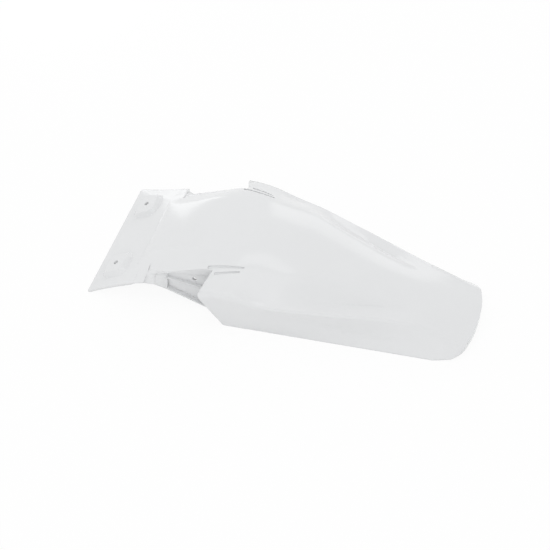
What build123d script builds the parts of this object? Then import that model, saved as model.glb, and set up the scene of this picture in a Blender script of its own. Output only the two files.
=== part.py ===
"""Rear fender of an off-road motorcycle, moulded in one piece.

Millimetres. +X runs back to the tail, +Y to the right-hand side and +Z up.
The origin is midway between the two front bolt holes, on top of their bosses.
"""

import math
import os

from build123d import *

# Mould wall, and the level that the front edge, the skirts and the tail stand on
WALL = 3.0
TABLE_Z = -26.0

# Mounting plate with its two bolt bosses
PLATE_ANGLE = 30.0
PLATE_FRONT_X = -30.6
PLATE_WIDTH = 238.0
HOLE_SPACING = 136.0
HOLE_DIA = 8.0
BOSS_LENGTH = 36.0
BOSS_WIDTH = 40.0
BOSS_RADIUS = 11.0
BOSS_HEIGHT = 6.5
BOSS_DRAFT = 45.0
BOSS_TOP = 4.0

# Wings of the plate, which droop towards their back ends
WING_END_X = 63.9
WING_END_Y = 107.2
WING_DROOP = 11.5
WING_ARCH = 2.5
WING_CORNER = 2.5

# Stations along the fender: hump step, nose of the side panels, hips, tail end
STEP_X = 42.0
NOSE_X = 161.0
HIP_X = 250.0
TAIL_X = 578.0
STEP_HEIGHT = 4.0
STEP_RAMP = 7.0
HUMP_WIDTH = 148.0

# Side panel edges, seen from the side
NOSE_Z = 46.0
NOSE_TOP_X = 175.0
NOSE_TOP_Z = 67.0
NOSE_RADIUS = 4.0
PANEL_FOOT_X = 198.0

# Rounded tail end, seen from above, and its turned-down lip
TAIL_ARC = 200.0
TAIL_CORNER = 45.0
TAIL_LIFT = 8.0
LIFT_START_X = 525.0
LIP_START_X = 520.0

# Flange that turns down from each wing into the side wall
FLANGE_FRONT_X = 58.0
FLANGE_END_X = 98.0

# Side walls under the hump: an upper pocket with a bolt hole, a rib, a lower pocket and a lip
RIM_Y = 90.5
POCKET_Y = 87.0
RIM_LOW_Z = 33.3
RIM_RISE = 14.0
RIB_Y = 92.5
SIDE_WALL_Y = 88.5
SIDE_LIP_Y = 95.5
RIB_FRONT_Z = 25.0
RIB_FALL = 4.7
SIDE_LIP_FRONT_Z = 0.3
SIDE_LIP_FALL = 18.0
SIDE_LIP_LOW_X = 165.0
SIDE_WALL_END_X = 206.0
SIDE_HOLE_X = 142.0
SIDE_HOLE_Z = 30.8
SIDE_HOLE_DIA = 6.6

# Two grooves between hump and side panel, from their front corners back, as (x, y, width)
GROOVE_DEPTH = 1.5
GROOVES = [
    ((166, 85.2, 4.2), (221, 76.2, 2.4)),
    ((179, 93.4, 3.4), (216, 83.6, 2.0)),
]

# Flat taken off each side of the fold between ledge and skirt, and at the panel's nose
FOLD_FLAT = 3.0
NOSE_FLAT = 7.0

# Crown of a section: where its knee is and where the slope begins, as shares of the way out.
# The faces meet at a hair's angle, which keeps them apart and well below what can be seen.
KNEE = 0.4
SLOPE_START = 0.65
HAIR = 0.02

SECTIONS = 48
OVER = 12.0
FAR = 200.0
SLOPE = math.tan(math.radians(PLATE_ANGLE))
PLATE_RISE = 1 / math.cos(math.radians(PLATE_ANGLE))


def plate_z(x):
    """Height of the plate's top face at x."""
    return x * SLOPE - BOSS_HEIGHT * PLATE_RISE


def front(share):
    """A place between the hump's step and the panel's nose."""
    return STEP_X + share * (NOSE_X - STEP_X)


def back(share):
    """A place between the hips and the tail end."""
    return HIP_X + share * (TAIL_X - HIP_X)


SIDE_X = (NOSE_X + HIP_X) / 2
STEP_Z = plate_z(STEP_X)

# Guide lines of the outer skin as (x, y, z), each running from the step to the tail
CROWN = [
    (front(0), 0, STEP_Z + STEP_HEIGHT),
    (front(0.46), 0, 54),
    (NOSE_X, 0, 80),
    (SIDE_X, 0, 88),
    (HIP_X, 0, 87.5),
    (back(0.15), 0, 76.3),
    (back(0.3), 0, 62.5),
    (back(0.5), 0, 46.3),
    (back(0.7), 0, 30),
    (back(0.85), 0, 15.2),
    (back(1), 0, -3),
]
SHOULDER = [
    (front(0), 62, STEP_Z + STEP_HEIGHT - 0.3),
    (front(0.46), 62, 50),
    (front(0.74), 66, 65),
    (NOSE_X, 70, 75),
    (SIDE_X, 72, 78.5),
    (HIP_X, 73, 73.5),
    (back(0.09), 74.5, 68.5),
    (back(0.15), 71.5, 66.6),
    (back(0.25), 64, 58.8),
    (back(0.4), 53, 46),
    (back(0.5), 46.5, 38),
    (back(0.7), 32, 26.3),
    (back(0.85), 27, 13),
    (back(1), 26, -4.6),
]
FOOT = [
    (front(0), HUMP_WIDTH / 2, STEP_Z + 0.5),
    (front(0.2), 76.5, 25.5),
    (front(0.46), 79, 38),
    (front(0.74), 82.5, 54),
    (NOSE_X, 87.5, 66),
    (SIDE_X, 87, 69.5),
    (HIP_X, 82, 66.5),
    (back(0.09), 80, 60.5),
    (back(0.15), 78.7, 52.7),
    (back(0.25), 69.8, 44.5),
    (back(0.4), 59.2, 37),
    (back(0.5), 51.5, 32.3),
    (back(0.7), 37, 25.2),
    (back(0.85), 32, 12),
    (back(1), 31, -5.3),
]
CREASE = [
    (front(0), 88.5, STEP_Z - 5.5),
    (front(0.2), 88.5, 20.5),
    (front(0.46), 88.5, 34.8),
    (front(0.74), 89.5, 50.4),
    (NOSE_X, 94, 62.5),
    (SIDE_X, 105, 60),
    (HIP_X, 110, 44.3),
    (back(0.09), 104, 44.7),
    (back(0.15), 96.5, 43.3),
    (back(0.25), 85, 38),
    (back(0.4), 68, 32),
    (back(0.5), 56, 28.7),
    (back(0.7), 43, 23.6),
    (back(0.85), 40, 10),
    (back(1), 39, -6.8),
]
FOLD = [
    (front(0), 130, 2),
    (front(0.46), 130, 24.5),
    (NOSE_X, 131, NOSE_Z + 1),
    (SIDE_X, 125, 50),
    (HIP_X, 121, 40.8),
    (back(0.15), 112.5, 36.8),
    (back(0.3), 100, 33.3),
    (back(0.4), 91.5, 30.7),
    (back(0.5), 82, 28),
    (back(0.7), 66.5, 18.5),
    (back(0.85), 62, 5.5),
    (back(1), 62, -15),
]
WAIST = [
    (front(0), 128, -12),
    (NOSE_X, 126.6, 12),
    (HIP_X, 118.2, 21),
    (back(0.15), 108, 20),
    (back(0.3), 97, 7),
    (back(0.5), 85.5, -5.5),
    (back(0.7), 79.5, -8),
    (back(0.85), 74.5, -11),
    (back(1), 71, -20),
]
HEM = [(NOSE_X, 121.8, TABLE_Z), (TAIL_X, 82, TABLE_Z)]


def along(guide, x):
    """The (y, z) of a guide line at x, on a smooth curve through its points."""
    last = len(guide) - 1
    i = 0
    while i < last - 1 and x > guide[i + 1][0]:
        i += 1
    result = []
    for k in (1, 2):
        rise = [(b[k] - a[k]) / (b[0] - a[0]) for a, b in zip(guide, guide[1:])]
        lean = [rise[0]] + [(a + b) / 2 for a, b in zip(rise, rise[1:])] + [rise[-1]]
        span = guide[i + 1][0] - guide[i][0]
        t = (x - guide[i][0]) / span
        if t < 0:
            result.append(guide[0][k] + lean[0] * span * t)
        elif t > 1:
            result.append(guide[last][k] + lean[last] * span * (t - 1))
        else:
            start = guide[i][k] * (1 + 2 * t) + lean[i] * span * t
            end = guide[i + 1][k] * (3 - 2 * t) - lean[i + 1] * span * (1 - t)
            result.append(start * (1 - t) ** 2 + end * t * t)
    return Vector(*result)


def corners(x):
    """Corners of the right half of the outer section at x, from the crown's own down to the hem."""
    crown = along(CROWN, x)
    shoulder = along(SHOULDER, x)
    waist = along(WAIST, x)
    hem = along(HEM, x)
    knee = Vector(KNEE * shoulder.X, crown.Y)
    low = (TABLE_Z - OVER - waist.Y) / (TABLE_Z - waist.Y)
    end = waist + (hem - waist) * low
    return [knee, shoulder, along(FOOT, x), along(CREASE, x), along(FOLD, x), waist, end]


def draw_section(x, offset, depth):
    """Draws the section at x, moved out by offset and closed at depth below its lower ends."""
    points = corners(x)
    ways = [(b - a).normalized() for a, b in zip(points, points[1:])]
    outs = [Vector(0, 1)] + [Vector(-way.Y, way.X) for way in ways]
    outs.append(outs[-1])
    moved = []
    for point, before, after in zip(points, outs, outs[1:]):
        moved.append(point + (before + after) * (offset / (1 + before.dot(after))))
    knee, shoulder, foot, crease, fold, waist, end = moved
    enter = knee + (shoulder - knee) * SLOPE_START + outs[1] * HAIR
    towards_nose = min(max((HIP_X - x) / (HIP_X - NOSE_X), 0), 1)
    flat = FOLD_FLAT + (NOSE_FLAT - FOLD_FLAT) * towards_nose
    above = fold - ways[3] * flat
    below = fold + ways[4] * flat
    foot_end = end - Vector(0, depth)
    Bezier((0, knee.Y), knee - Vector(0, HAIR), enter)
    Bezier(enter, shoulder, foot, crease)
    Polyline(crease, above, below, waist, end, foot_end)
    mirror(about=Plane.YZ)
    Line(foot_end, (-foot_end.X, foot_end.Y))


def under_skin(offset, start, depth):
    """Everything under the skin moved out by offset, from start to past the tail end."""
    with BuildPart() as body:
        for i in range(SECTIONS + 1):
            x = start + (TAIL_X + OVER - start) * i / SECTIONS
            with BuildSketch(Plane.YZ.offset(x)):
                with BuildLine():
                    draw_section(x, offset, depth)
                make_face()
        loft()
    return body.part


def on_sides(points, near, thick):
    """Plates of an outline drawn in (x, z), one on each side, from near outwards."""
    with BuildPart() as body:
        with BuildSketch(Plane.XZ.offset(-near)):
            with BuildLine():
                Polyline(*points, close=True)
            make_face()
        extrude(amount=-thick)
        mirror(about=Plane.XZ)
    return body.part


outer = under_skin(0, STEP_X, 4)
groove_floor = under_skin(-GROOVE_DEPTH, STEP_X, 6)
inner = under_skin(-WALL, STEP_X + 5, 9)

# Mounting plate with its drooped wings, all flat sheets meeting in two bend lines
thick = WALL * PLATE_RISE
narrowing = (PLATE_WIDTH - HUMP_WIDTH) / 2 / (STEP_X - PLATE_FRONT_X)
sheet = Plane((0, 0, plate_z(0)), x_dir=(1, 0, SLOPE), z_dir=(-SLOPE, 0, 1))
corner = Vector(PLATE_FRONT_X, PLATE_WIDTH / 2, plate_z(PLATE_FRONT_X))
bend_run = WING_END_X - PLATE_FRONT_X
bend_end = corner + Vector(bend_run, -narrowing * bend_run, SLOPE * bend_run)
wing_end = Vector(WING_END_X, WING_END_Y, plate_z(WING_END_X) - WING_DROOP)
wing = Plane(corner, x_dir=wing_end - corner, z_dir=(bend_end - corner).cross(wing_end - corner))
with BuildPart() as plate:
    with BuildSketch(sheet):
        with BuildLine():
            half = PLATE_WIDTH / 2 - narrowing * (STEP_X + 5 - PLATE_FRONT_X)
            near = PLATE_FRONT_X * PLATE_RISE
            far = (STEP_X + 5) * PLATE_RISE
            Polyline((near, -corner.Y), (near, corner.Y), (far, half), (far, -half), close=True)
        make_face()
    extrude(amount=-WALL)
    with BuildSketch(wing):
        with BuildLine():
            local = [wing.to_local_coords(point) for point in (corner, bend_end, wing_end)]
            Polyline(*[(point.X, point.Y) for point in local], close=True)
        make_face()
    wings = extrude(amount=-WALL)
    mirror(wings, about=Plane.XZ)
    with BuildSketch() as plate_plan:
        with BuildLine():
            front_corner = Vector(corner.X, corner.Y)
            back_corner = Vector(WING_END_X, WING_END_Y)
            middle = (front_corner + back_corner) / 2 - Vector(0, WING_ARCH)
            ThreePointArc(front_corner, middle, back_corner)
            mirror(about=Plane.XZ)
            for point in (front_corner, back_corner):
                Line((point.X, point.Y), (point.X, -point.Y))
        make_face()
        fillet(plate_plan.vertices(), WING_CORNER)
    extrude(amount=FAR, both=True, mode=Mode.INTERSECT)
    with Locations((STEP_X + 5, 0, 0)):
        beyond = (Align.MIN, Align.CENTER, Align.CENTER)
        Box(FAR, HUMP_WIDTH - 4, FAR, align=beyond, mode=Mode.SUBTRACT)

# Rounded tail end seen from above
with BuildSketch() as tail_plan:
    begin = back(0.35)
    with BuildLine():
        wide = along(HEM, begin).X + 1
        narrow = along(HEM, TAIL_X + 20).X + 1
        ends = [(begin, wide), (TAIL_X + 20, narrow)]
        Polyline(*ends, *[(x, -y) for x, y in reversed(ends)], close=True)
    make_face()
    with Locations((TAIL_X - TAIL_ARC, 0)):
        Circle(TAIL_ARC, mode=Mode.INTERSECT)
    fillet(tail_plan.vertices().sort_by(Axis.X)[-2:], TAIL_CORNER)
with BuildSketch() as lip_plan:
    add(tail_plan.sketch)
    offset(amount=-WALL, mode=Mode.SUBTRACT)
    with Locations((LIP_START_X, 0)):
        Rectangle(FAR, 2 * FAR, align=(Align.MIN, Align.CENTER), mode=Mode.INTERSECT)

# Hollow under the skin, with a lip left standing along the tail's edge
with BuildPart() as hollow:
    add(inner)
    extrude(lip_plan.sketch, amount=FAR, both=True, mode=Mode.SUBTRACT)

# Grooves beside the hump, from the skin's groove floor upwards
with BuildPart() as groove:
    with BuildSketch():
        for (x, y, width), (end_x, end_y, end_width) in GROOVES:
            with BuildLine():
                Polyline((x, y), (x, y + width), (end_x, end_y + end_width), (end_x, end_y), close=True)
            make_face()
        mirror(about=Plane.XZ)
    extrude(amount=FAR)
    add(groove_floor, mode=Mode.SUBTRACT)

# Room for the wings beside the hump
room_end = WING_END_X - 1
wing_room = on_sides(
    [(0, FAR), (room_end, FAR), (room_end, -FAR), (0, -FAR)], HUMP_WIDTH / 2 + 2, FAR
)

# Skin: hump, spine, panels and skirts, cut to their edges
with BuildPart() as skin:
    add(outer)
    add(hollow.part, mode=Mode.SUBTRACT)
    # Ramp up the hump's step
    ramp_end = STEP_X + STEP_RAMP
    with BuildSketch(Plane.XZ):
        with BuildLine():
            Polyline(
                (STEP_X - 1, STEP_Z + 0.5),
                (ramp_end, along(CROWN, ramp_end).Y + 0.3),
                (STEP_X - 1, STEP_Z + 30),
                close=True,
            )
        make_face()
    extrude(amount=FAR, both=True, mode=Mode.SUBTRACT)
    # Room under the plate, and for its wings
    with BuildSketch(Plane.XZ):
        with BuildLine():
            Polyline(
                (STEP_X - 9, plate_z(STEP_X - 9) - thick),
                (STEP_X + 6, plate_z(STEP_X + 6) - thick),
                (STEP_X + 6, -FAR),
                (STEP_X - 9, -FAR),
                close=True,
            )
        make_face()
    extrude(amount=FAR, both=True, mode=Mode.SUBTRACT)
    add(wing_room, mode=Mode.SUBTRACT)
    # Front edge of the side panels
    lean = (PANEL_FOOT_X - NOSE_X) / (TABLE_Z - NOSE_Z)
    with BuildSketch(Plane.XZ.offset(-RIM_Y)) as ahead:
        with BuildLine():
            Polyline(
                (NOSE_TOP_X + 30, NOSE_TOP_Z + 40),
                (NOSE_TOP_X, NOSE_TOP_Z),
                (NOSE_X, NOSE_Z),
                (NOSE_X - lean * (NOSE_Z + 60), -60),
                (0, -60),
                (0, NOSE_TOP_Z + 40),
                close=True,
            )
        make_face()
        fillet(ahead.vertices().sort_by_distance((NOSE_X, NOSE_Z, 0))[0], NOSE_RADIUS)
    nose_cut = extrude(amount=-FAR, mode=Mode.PRIVATE)
    add(nose_cut, mode=Mode.SUBTRACT)
    add(mirror(nose_cut, about=Plane.XZ, mode=Mode.PRIVATE), mode=Mode.SUBTRACT)
    # Tail end
    with BuildSketch() as keep:
        add(tail_plan.sketch)
        Rectangle(begin + 10, 2 * FAR, align=(Align.MIN, Align.CENTER))
    extrude(amount=FAR, both=True, mode=Mode.INTERSECT)
    add(groove.part, mode=Mode.SUBTRACT)
    # Lower edge of the tail, rising to its end
    with BuildSketch(Plane.XZ):
        with BuildLine():
            Polyline(
                (LIFT_START_X, TABLE_Z),
                (TAIL_X, TABLE_Z + TAIL_LIFT),
                (TAIL_X + FAR, TABLE_Z + TAIL_LIFT),
                (TAIL_X + FAR, -FAR),
                (LIFT_START_X, -FAR),
                close=True,
            )
        make_face()
    extrude(amount=FAR, both=True, mode=Mode.SUBTRACT)

# Flanges that turn down from the wings to the front ends of the side walls
wall_front = FLANGE_END_X - WALL
out = wing.z_dir
starts = []
for y in (POCKET_Y, WING_END_Y - 1):
    drop = (out.X * (FLANGE_FRONT_X - corner.X) + out.Y * (y - corner.Y)) / out.Z
    starts.append(Vector(y, corner.Z - drop - 0.3))
rim_z = along(CREASE, FLANGE_END_X).Y - 0.5
stops = [Vector(POCKET_Y, rim_z), Vector(SIDE_LIP_Y, SIDE_LIP_FRONT_Z)]
with BuildPart() as flanges:
    for share in (0, 0.5, 1):
        inner_edge, outer_edge = [a + (b - a) * share for a, b in zip(starts, stops)]
        way = (outer_edge - inner_edge).normalized() * WALL
        inward = Vector(way.Y, -way.X)
        x = FLANGE_FRONT_X + (FLANGE_END_X - FLANGE_FRONT_X) * share
        with BuildSketch(Plane.YZ.offset(x)):
            with BuildLine():
                Polyline(inner_edge, outer_edge, outer_edge + inward, inner_edge + inward, close=True)
            make_face()
    loft(ruled=True)
    mirror(about=Plane.XZ)

# Side walls under the rim, with a rib between their two pockets and a lip along the bottom
with BuildPart() as side_walls:
    rib_drop = math.tan(math.radians(RIB_FALL)) * (SIDE_WALL_END_X - wall_front)
    lip_drop = math.tan(math.radians(SIDE_LIP_FALL)) * (SIDE_LIP_LOW_X - wall_front)
    rib = [(wall_front, RIB_FRONT_Z), (SIDE_WALL_END_X, RIB_FRONT_Z - rib_drop)]
    rib_under = [(x, z - WALL) for x, z in reversed(rib)]
    low_z = SIDE_LIP_FRONT_Z - lip_drop
    low = [(SIDE_WALL_END_X, low_z), (SIDE_LIP_LOW_X, low_z), (wall_front, SIDE_LIP_FRONT_Z)]
    low_top = [(x, z + WALL) for x, z in reversed(low)]
    inside = POCKET_Y - WALL
    add(on_sides(rib + rib_under, inside, RIB_Y - inside))
    add(on_sides(low + low_top, SIDE_WALL_Y - WALL, SIDE_LIP_Y - SIDE_WALL_Y + WALL))
    add(on_sides(rib + low, SIDE_WALL_Y - WALL, WALL))
    add(on_sides(rib + [(SIDE_WALL_END_X, FAR), (wall_front, FAR)], inside, WALL))
    rim_rise = math.tan(math.radians(RIM_RISE)) * (SIDE_WALL_END_X - wall_front)
    rim = [(wall_front, RIM_LOW_Z), (SIDE_WALL_END_X, RIM_LOW_Z + rim_rise)]
    add(on_sides(rim + [(SIDE_WALL_END_X, FAR), (wall_front, FAR)], inside, RIM_Y - inside))
    add(groove_floor, mode=Mode.INTERSECT)
    with BuildSketch(Plane.XZ):
        with Locations((SIDE_HOLE_X, SIDE_HOLE_Z)):
            Circle(SIDE_HOLE_DIA / 2)
    extrude(amount=FAR, both=True, mode=Mode.SUBTRACT)

# Bosses on the plate
seat = Plane((0, 0, 0), x_dir=(1, 0, SLOPE), z_dir=(-SLOPE, 0, 1))
spots = [(0, HOLE_SPACING / 2), (0, -HOLE_SPACING / 2)]
with BuildPart() as bosses:
    with BuildSketch(seat):
        with Locations(*spots):
            RectangleRounded(BOSS_LENGTH, BOSS_WIDTH, BOSS_RADIUS)
    extrude(amount=-BOSS_HEIGHT - WALL, taper=-BOSS_DRAFT)

# The moulding: skin, plate, walls and bosses in one, then their holes
with BuildPart() as rear_fender:
    add(skin.part)
    add(plate.part)
    add(flanges.part)
    add(side_walls.part)
    add(bosses.part)
    with BuildSketch(seat.offset(-BOSS_TOP)):
        with Locations(*spots):
            Rectangle(BOSS_LENGTH - BOSS_RADIUS / 2, BOSS_WIDTH - BOSS_RADIUS / 2)
    extrude(amount=-BOSS_HEIGHT - WALL, taper=-BOSS_DRAFT, mode=Mode.SUBTRACT)
    with BuildSketch(seat.offset(BOSS_HEIGHT)):
        with Locations(*spots):
            Circle(HOLE_DIA / 2)
    extrude(amount=-4 * BOSS_HEIGHT, mode=Mode.SUBTRACT)
    # Level on which it stands
    with Locations((0, 0, TABLE_Z)):
        under_table = (Align.CENTER, Align.CENTER, Align.MAX)
        Box(8 * FAR, 4 * FAR, FAR, align=under_table, mode=Mode.SUBTRACT)

os.makedirs("parts", exist_ok=True)
rear_fender.part.label = "rear_fender"
export_step(rear_fender.part, "parts/rear_fender.step")
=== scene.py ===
# %% [markdown]
# # A moulded rear fender
#
# This lesson dresses one real thing: the white rear fender of an off-road motorcycle.
# It is a single shell of polypropylene, shot into a steel mould, about 3 mm thick.
# The CAD model already holds its shape, so Blender's work is the skin:
# softened mould edges, the plastic itself, the studio and the camera.

# %% Load the CAD frame
import math

import bmesh
import bpy
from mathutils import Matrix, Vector


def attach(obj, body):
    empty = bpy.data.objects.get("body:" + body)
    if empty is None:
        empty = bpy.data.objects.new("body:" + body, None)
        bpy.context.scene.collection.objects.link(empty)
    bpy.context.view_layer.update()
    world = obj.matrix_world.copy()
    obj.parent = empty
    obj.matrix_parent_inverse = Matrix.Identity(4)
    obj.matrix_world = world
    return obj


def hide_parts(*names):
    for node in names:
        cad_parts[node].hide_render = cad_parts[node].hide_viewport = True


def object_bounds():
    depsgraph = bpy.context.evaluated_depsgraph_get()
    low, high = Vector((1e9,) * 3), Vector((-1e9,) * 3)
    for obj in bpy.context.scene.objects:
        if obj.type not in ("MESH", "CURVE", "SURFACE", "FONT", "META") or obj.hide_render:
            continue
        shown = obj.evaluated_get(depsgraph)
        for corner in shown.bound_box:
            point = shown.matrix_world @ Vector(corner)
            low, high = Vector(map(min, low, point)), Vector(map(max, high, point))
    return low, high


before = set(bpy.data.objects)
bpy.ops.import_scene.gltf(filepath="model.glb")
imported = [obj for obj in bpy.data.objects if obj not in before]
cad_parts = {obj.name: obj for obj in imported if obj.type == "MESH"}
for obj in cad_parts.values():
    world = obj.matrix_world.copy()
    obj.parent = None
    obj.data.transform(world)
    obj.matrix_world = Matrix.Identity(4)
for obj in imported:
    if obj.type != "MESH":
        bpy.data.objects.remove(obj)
cad_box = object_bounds()
MM = 0.001
print("nodes:", sorted(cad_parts))
print("CAD box:", [[round(value, 4) for value in corner] for corner in cad_box])

# %% [markdown]
# ## The shell
#
# A CAD node arrives as loose triangles, so every facet would shade flat.
# It could be given a modifier, but its own mesh has to stay as it is.
# A merged copy is kinder: its neighbours share corners, it can be shaded smoothly,
# and the copy can then stand for the node.

# %% Merge a copy of the fender
WELD = 0.005 * MM

shell_mesh = bpy.data.meshes.new("fender_shell")
bm = bmesh.new()
bm.from_mesh(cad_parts["rear_fender"].data)
loose = len(bm.verts)
bmesh.ops.remove_doubles(bm, verts=bm.verts, dist=WELD)
print("fender shell:", loose, "corners merged to", len(bm.verts))

# %% [markdown]
# The ends of the front plate roll over into the sides without an edge.
# A CAD fillet over so many small faces would be costly, and a bevel needs clean long faces.
# So the facets are divided there a set number of times, and their heights are then evened out
# in many small passes. Only heights move, so the outline seen from above stays as it was drawn.

# %% Roll the plate's ends over
ROLL_X = (44 * MM, 94 * MM)
ROLL_Y = 84 * MM
ROLL_GRAIN = 3 * MM
ROLL_TURNS = 4
ROLL_PASSES = 60
ROLL_EASE = 0.5
EDGE_SHARES = (0, 0.25, 0.5, 0.75, 1)


def in_roll(point):
    """Tells whether a point lies on one of the rolled ends."""
    return ROLL_X[0] < point.x < ROLL_X[1] and abs(point.y) > ROLL_Y


def crosses_roll(edge):
    """Tells whether any part of an edge lies on one of the rolled ends."""
    start, end = (vert.co for vert in edge.verts)
    return any(in_roll(start.lerp(end, share)) for share in EDGE_SHARES)


for _ in range(ROLL_TURNS):
    rough = [edge for edge in bm.edges if edge.calc_length() > ROLL_GRAIN and crosses_roll(edge)]
    bmesh.ops.subdivide_edges(bm, edges=rough, cuts=1)
    bmesh.ops.triangulate(bm, faces=[face for face in bm.faces if len(face.verts) > 3])
rolled = [vert for vert in bm.verts if in_roll(vert.co)]
for _ in range(ROLL_PASSES):
    bmesh.ops.smooth_vert(bm, verts=rolled, factor=ROLL_EASE, use_axis_z=True)
print("rolled ends:", len(rolled), "corners, shell now", len(bm.faces), "facets")

# %% [markdown]
# A mould's edges are either crisp or blended away. Here an angle decides which is which.
# Two places are blended more than the rest: the rolled ends, and the fold of the side panels,
# which fades out towards their noses.

# %% Choose the crisp edges
CRISP_ANGLE = math.radians(24)
BLEND_ANGLE = math.radians(60)
FOLD_FADE_X = 255 * MM
FOLD_Y = 98 * MM


def is_blended(point):
    """Tells whether a point lies on a panel's nose or on a rolled end."""
    on_nose = ROLL_X[1] < point.x < FOLD_FADE_X and abs(point.y) > FOLD_Y
    return on_nose or in_roll(point)


for face in bm.faces:
    face.smooth = True
crisp = 0
for edge in bm.edges:
    middle = (edge.verts[0].co + edge.verts[1].co) / 2
    limit = BLEND_ANGLE if is_blended(middle) else CRISP_ANGLE
    edge.smooth = edge.calc_face_angle(math.pi) < limit
    crisp += not edge.smooth
bm.to_mesh(shell_mesh)
bm.free()
fender_shell = bpy.data.objects.new("fender_shell", shell_mesh)
bpy.context.collection.objects.link(fender_shell)
print("crisp edges:", crisp, "of", len(shell_mesh.edges))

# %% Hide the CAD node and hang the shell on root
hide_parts("rear_fender")
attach(fender_shell, "root")

# %% [markdown]
# ## White polypropylene
#
# Fender plastic is polypropylene with white pigment, and a little light enters it.
# A polished mould leaves it glossy, but the melt shrinks as it cools, so the gloss
# is never a mirror: it has a faint orange peel a few millimetres across.
# The pigment and the gloss also drift a little over a hand's width, as the melt flowed.

# %% A colour helper and a node helper
def linear(hex_code):
    """Turns an sRGB hex colour into Blender's linear one."""
    channels = [int(hex_code[i:i + 2], 16) / 255 for i in (1, 3, 5)]
    return [c / 12.92 if c <= 0.04045 else ((c + 0.055) / 1.055) ** 2.4 for c in channels] + [1]


def add_node(tree, kind, values=(), links=(), **settings):
    """Adds a node with its settings, socket values and incoming links."""
    node = tree.nodes.new(kind)
    for name, value in settings.items():
        setattr(node, name, value)
    for socket, value in dict(values).items():
        node.inputs[socket].default_value = value
    for socket, output in dict(links).items():
        tree.links.new(output, node.inputs[socket])
    return node


def new_material(name):
    """Starts a material with an empty tree and its output node."""
    material = bpy.data.materials.new(name)
    material.use_nodes = True
    material.node_tree.nodes.clear()
    return material, material.node_tree, add_node(material.node_tree, "ShaderNodeOutputMaterial")


print("white #E4E5E6 is linear", [round(c, 3) for c in linear("#E4E5E6")])

# %% [markdown]
# Every edge of a moulding has a small radius, because the cutter that made the mould had one.
# A bevel of the mesh could give it, but the thin facets of a CAD mesh make bad bevels.
# The Bevel node rounds the shading instead, and the peel is then laid over it.

# %% Mix the plastic
# Sizes in millimetres
EDGE_RADIUS = 1.2
PEEL_SIZE = 3.5
PEEL_HEIGHT = 0.003
CLOUD_SIZE = 45.0
LIGHT_DEPTH = 2.0
# Typical for polished polypropylene: glossy, and less so where the melt cooled first
POLYPROPYLENE_IOR = 1.49
GLOSS_ROUGHNESS = (0.15, 0.18)

plastic, tree, output = new_material("white_polypropylene")
place = add_node(tree, "ShaderNodeTexCoord").outputs["Object"]
rounded = add_node(tree, "ShaderNodeBevel", {"Radius": EDGE_RADIUS * MM}, samples=6)
peel = add_node(
    tree, "ShaderNodeTexNoise", {"Scale": 1 / (PEEL_SIZE * MM), "Detail": 1.0}, {"Vector": place}
)
bump = add_node(
    tree, "ShaderNodeBump", {"Strength": 1.0, "Distance": PEEL_HEIGHT * MM},
    {"Height": peel.outputs["Fac"], "Normal": rounded.outputs["Normal"]},
)
clouds = add_node(
    tree, "ShaderNodeTexNoise", {"Scale": 1 / (CLOUD_SIZE * MM), "Detail": 3.0}, {"Vector": place}
)
gloss = add_node(
    tree, "ShaderNodeMapRange",
    {"From Min": 0.3, "From Max": 0.7, "To Min": GLOSS_ROUGHNESS[0], "To Max": GLOSS_ROUGHNESS[1]},
    {"Value": clouds.outputs["Fac"]},
)
pigment = add_node(
    tree, "ShaderNodeMix", {"A": linear("#E3E4E5"), "B": linear("#E5E6E7")},
    {"Factor": clouds.outputs["Fac"]}, data_type="RGBA",
)
body = add_node(
    tree, "ShaderNodeBsdfPrincipled",
    {
        "IOR": POLYPROPYLENE_IOR,
        "Subsurface Weight": 0.15,
        "Subsurface Radius": (1.0, 1.0, 1.0),
        "Subsurface Scale": LIGHT_DEPTH * MM,
    },
    {
        "Base Color": pigment.outputs["Result"],
        "Roughness": gloss.outputs["Result"],
        "Normal": bump.outputs["Normal"],
    },
)
tree.links.new(body.outputs["BSDF"], output.inputs["Surface"])
shell_mesh.materials.clear()
shell_mesh.materials.append(plastic)
print("plastic:", plastic.name, "with", len(tree.nodes), "nodes")

# %% [markdown]
# ## The studio
#
# A catalogue picture like this is shot in a light tent on white paper.
# The floor looks white to the camera and to reflections, and still takes a soft shadow.

# %% White floor
FLOOR_REACH = 6.0
FLOOR_GAP = 0.1 * MM
FLOOR_GLOW = 0.93
MIDDLE_X = 0.25

floor_mesh = bpy.data.meshes.new("paper_floor")
bm = bmesh.new()
bmesh.ops.create_grid(bm, x_segments=1, y_segments=1, size=FLOOR_REACH)
bmesh.ops.translate(bm, verts=bm.verts, vec=(MIDDLE_X, 0, cad_box[0][2] - FLOOR_GAP))
bm.to_mesh(floor_mesh)
bm.free()
floor = bpy.data.objects.new("paper_floor", floor_mesh)
bpy.context.collection.objects.link(floor)

paper, tree, output = new_material("white_paper")
ray = add_node(tree, "ShaderNodeLightPath").outputs
seen = add_node(
    tree, "ShaderNodeMath", operation="MAXIMUM",
    links={0: ray["Is Camera Ray"], 1: ray["Is Glossy Ray"]},
)
seen = add_node(
    tree, "ShaderNodeMath", operation="MAXIMUM",
    links={0: seen.outputs[0], 1: ray["Is Transmission Ray"]},
)
glow_share = add_node(
    tree, "ShaderNodeMath", {1: FLOOR_GLOW}, {0: seen.outputs[0]}, operation="MULTIPLY"
)
matt = add_node(tree, "ShaderNodeBsdfDiffuse", {"Color": linear("#F4F4F4")})
glow = add_node(tree, "ShaderNodeEmission", {"Color": (1, 1, 1, 1), "Strength": 1.0})
mixed = add_node(
    tree, "ShaderNodeMixShader",
    links={0: glow_share.outputs[0], 1: matt.outputs["BSDF"], 2: glow.outputs["Emission"]},
)
tree.links.new(mixed.outputs["Shader"], output.inputs["Surface"])
floor_mesh.materials.append(paper)
print("floor at", round(cad_box[0][2], 4), "m")

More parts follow.
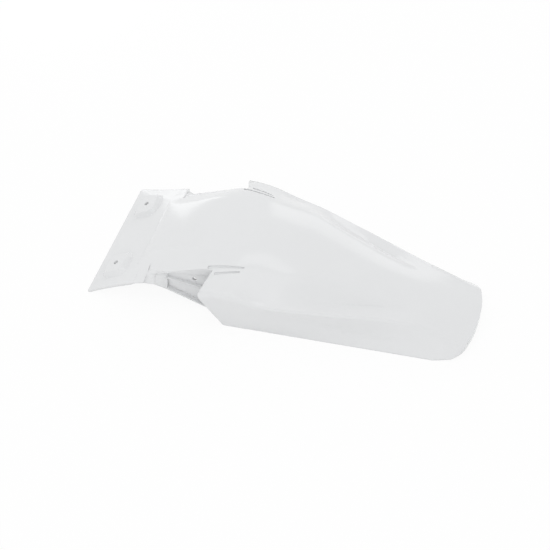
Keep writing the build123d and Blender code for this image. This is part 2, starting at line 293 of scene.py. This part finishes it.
# %% [markdown]
# The tent itself gives most of the light, the same from every side, which is why the fender
# has hardly any shadows. To the camera the tent is plain white.

# %% The tent
TENT_LEVEL = 0.875

tent = bpy.data.worlds.new("light_tent")
bpy.context.scene.world = tent
tent.use_nodes = True
tent.node_tree.nodes.clear()
tree = tent.node_tree
ray = add_node(tree, "ShaderNodeLightPath").outputs
strength = add_node(
    tree, "ShaderNodeMapRange", {"To Min": TENT_LEVEL, "To Max": 1.0}, {"Value": ray["Is Camera Ray"]}
)
backdrop = add_node(
    tree, "ShaderNodeBackground", {"Color": (1, 1, 1, 1)}, {"Strength": strength.outputs["Result"]}
)
output = add_node(tree, "ShaderNodeOutputWorld", links={"Surface": backdrop.outputs["Background"]})
print("tent level:", TENT_LEVEL)

# %% [markdown]
# Softboxes stand around the tent. Each is given as a level, where 1 is as bright as white paper,
# so that its size can be changed without a new sum: its watts follow from level and area.
# The weak large ones only tilt the balance of the tent. The two at the back are there for their
# reflections: one along the far shoulder, and a low strip on the far front of the hump.

# %% Softboxes
AIM = Vector((MIDDLE_X, 0.0, 0.03))


def softbox(name, place, width, height, level):
    """Hangs a rectangular lamp at a place, turned towards the fender."""
    lamp = bpy.data.lights.new(name, "AREA")
    lamp.shape = "RECTANGLE"
    lamp.size = width
    lamp.size_y = height
    lamp.energy = level * math.pi * width * height
    holder = bpy.data.objects.new(name, lamp)
    holder.location = place
    holder.rotation_euler = (AIM - Vector(place)).to_track_quat("-Z", "Y").to_euler()
    holder.visible_camera = False
    bpy.context.collection.objects.link(holder)
    return holder


softbox("zenith_box", (0.25, -0.05, 1.6), 0.6, 0.6, 1.0)
softbox("front_top", (0.2, -1.0, 1.4), 1.3, 1.0, 0.4)
softbox("front_wall", (0.3, -1.8, 0.5), 2.0, 0.9, 0.2)
softbox("left_wall", (-1.4, 0.0, 0.7), 1.4, 1.0, 0.2)
softbox("back_box", (0.45, 1.6, 0.75), 1.0, 0.7, 1.0)
softbox("back_strip", (-0.38, 0.61, 0.068), 0.28, 0.175, 1.3)

# %% [markdown]
# ## The camera
#
# The picture looks down on the fender's left side from behind its middle, with a long lens.

# %% Camera
FRAME_PIXELS = 550
FOCAL_PIXELS = 1340
AZIMUTH = math.radians(17.53)
ELEVATION = math.radians(49.33)
CAMERA_PLACE = (0.66828, -1.33798, 1.6126)

view = Vector((
    -math.sin(AZIMUTH) * math.cos(ELEVATION),
    math.cos(AZIMUTH) * math.cos(ELEVATION),
    -math.sin(ELEVATION),
))
lens = bpy.data.cameras.new("catalogue_camera")
lens.sensor_width = 36
lens.lens = lens.sensor_width * FOCAL_PIXELS / FRAME_PIXELS
camera = bpy.data.objects.new("catalogue_camera", lens)
camera.location = CAMERA_PLACE
camera.rotation_euler = view.to_track_quat("-Z", "Y").to_euler()
bpy.context.collection.objects.link(camera)
bpy.context.scene.camera = camera
bpy.context.scene.view_settings.view_transform = "Standard"
print("lens:", round(lens.lens, 1), "mm")
